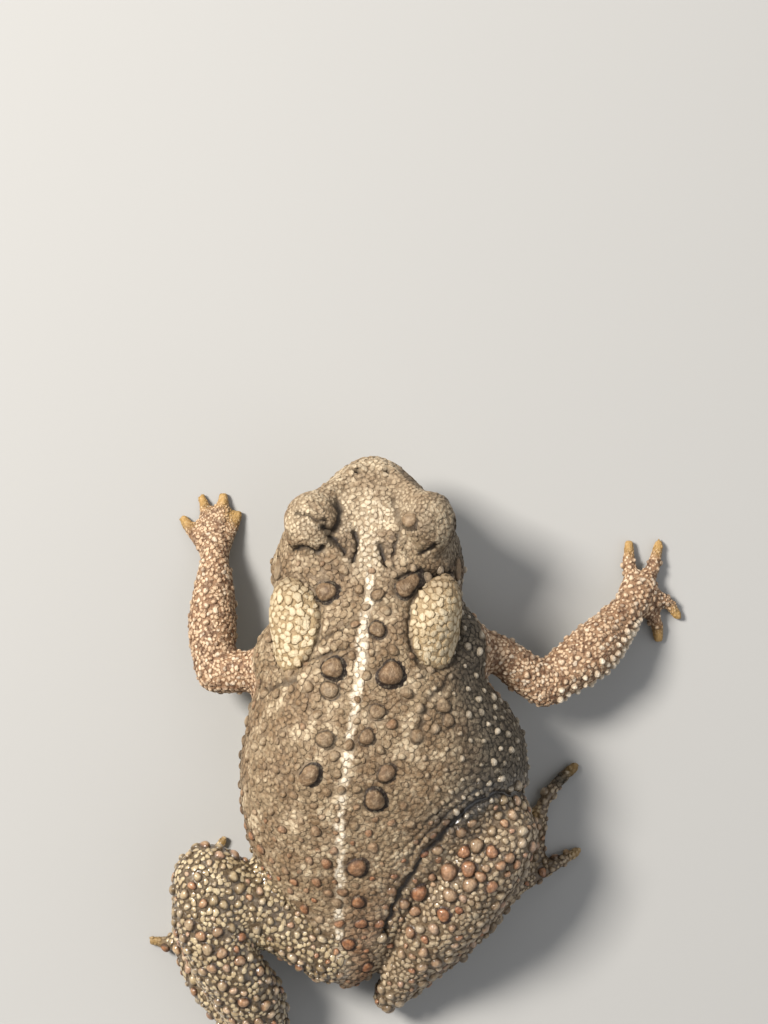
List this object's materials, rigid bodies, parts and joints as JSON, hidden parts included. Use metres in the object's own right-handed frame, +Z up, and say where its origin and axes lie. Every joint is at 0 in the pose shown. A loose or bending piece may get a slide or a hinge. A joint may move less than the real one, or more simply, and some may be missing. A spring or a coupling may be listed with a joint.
{
  "type": "american toad model",
  "caption": "Life-size still model of an American toad at rest on its belly, with warty back, parotoid glands, splayed hands and folded hind legs",
  "frame": {"origin": "centre of the underside of the bounding box, on the floor under the belly", "axes": "+Z up, head towards -Y, the toad's right towards -X"},
  "size_m": [0.0776, 0.089, 0.0265],
  "materials": {
    "skin": "dry granular skin",
    "gland": "pebbled pale skin",
    "leg_skin": "damp warty skin",
    "digit_skin": "fine yellow-brown skin",
    "ear": "smooth thin skin",
    "eye": "wet gloss"
  },
  "bodies": {
    "root": {"head": "skin", "torso": "skin", "parotoid_left": "gland", "parotoid_right": "gland", "tympanum_left": "ear", "tympanum_right": "ear", "eye_left": "eye", "eye_right": "eye", "upper_arm_left": "skin", "upper_arm_right": "skin", "forearm_left": "skin", "forearm_right": "skin", "hand_left": "digit_skin", "hand_right": "digit_skin", "thigh_left": "leg_skin", "thigh_right": "leg_skin", "shank_left": "leg_skin", "shank_right": "leg_skin", "tarsus_left": "leg_skin", "tarsus_right": "leg_skin", "foot_left": "digit_skin", "foot_right": "digit_skin"}
  },
  "joints": []
}
